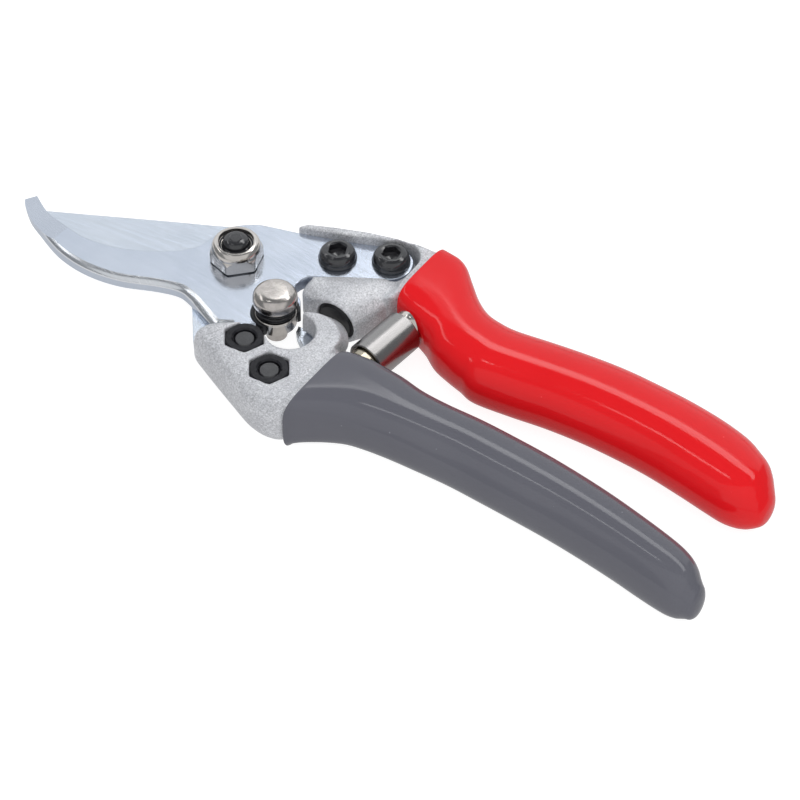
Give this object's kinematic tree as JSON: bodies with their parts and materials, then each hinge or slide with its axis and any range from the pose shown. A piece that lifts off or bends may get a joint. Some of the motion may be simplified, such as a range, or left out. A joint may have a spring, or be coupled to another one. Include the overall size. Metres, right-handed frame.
{
  "type": "pruning shears",
  "caption": "Bypass pruning shears with cast handles, red and grey dipped grips, bolted hook and cutting blades, volute spring and push-button lock, stored closed.",
  "frame": {"origin": "centre of the pivot bolt's head underside, which is the pivot axis at the level the shears lie on", "axes": "+X from the pivot towards the grips, +Z along the pivot axis, up, towards the nut"},
  "size_m": [0.2268, 0.0754, 0.0205],
  "materials": {
    "cast": "tumbled casting, fine grain, satin",
    "red_vinyl": "dipped vinyl, glossy",
    "grey_vinyl": "dipped vinyl, glossy",
    "blade_steel": "ground, satin",
    "black_oxide": "black oxide, slightly oiled",
    "nickel": "nickel plated, bright",
    "nylon": "dark nylon",
    "rubber": "moulded rubber"
  },
  "bodies": {
    "hook_side": {"red_casting": "cast", "red_grip": "red_vinyl", "hook_blade": "blade_steel", "hook_screws": "black_oxide", "hook_nuts": "black_oxide", "pivot_bolt": "black_oxide", "pivot_nut": "nickel", "nut_insert": "nylon", "rubber_bumper": "rubber", "lock_ring": "rubber", "spring_stud_red": "nickel"},
    "blade_side": {"grey_casting": "cast", "grey_grip": "grey_vinyl", "cutting_blade": "blade_steel", "blade_screws": "black_oxide", "blade_nuts": "black_oxide", "spring_stud_grey": "nickel"},
    "lock_pin": {"lock_button": "nickel", "lock_collar": "nickel", "lock_orings": "rubber"},
    "spring_wide": {"spring_turn_1": "nickel"},
    "spring_mid": {"spring_turn_2": "nickel"},
    "spring_narrow": {"spring_turn_3": "nickel"},
    "spring_tip": {"spring_turn_4": "nickel"}
  },
  "joints": [
    {"name": "blade_hinge", "type": "hinge", "parent": "hook_side", "child": "blade_side", "pos_m": [0, 0, 0.0086], "axis": [0, 0, -1], "range_deg": [0, 26]},
    {"name": "lock_slide", "type": "slide", "parent": "hook_side", "child": "lock_pin", "axis": [0, 0, -1], "range_m": [0, 0.0032]},
    {"name": "spring_swing", "type": "hinge", "parent": "hook_side", "child": "spring_wide", "pos_m": [0.0512, 0.00951, 0.0086], "axis": [0, 0, -1], "range_deg": [0, 13]},
    {"name": "spring_reach_2", "type": "slide", "parent": "spring_wide", "child": "spring_mid", "axis": [-0.0924, -0.9957, 0], "range_m": [0, 0.00727]},
    {"name": "spring_reach_3", "type": "slide", "parent": "spring_mid", "child": "spring_narrow", "axis": [-0.0924, -0.9957, 0], "range_m": [0, 0.00727]},
    {"name": "spring_reach_4", "type": "slide", "parent": "spring_narrow", "child": "spring_tip", "axis": [-0.0924, -0.9957, 0], "range_m": [0, 0.00727]}
  ],
  "couplings": [
    {"joint": "spring_swing", "follows": "blade_hinge", "ratio": 0.5},
    {"joint": "spring_reach_2", "follows": "blade_hinge", "m_per_rad": 0.016022},
    {"joint": "spring_reach_3", "follows": "blade_hinge", "m_per_rad": 0.016022},
    {"joint": "spring_reach_4", "follows": "blade_hinge", "m_per_rad": 0.016022}
  ]
}
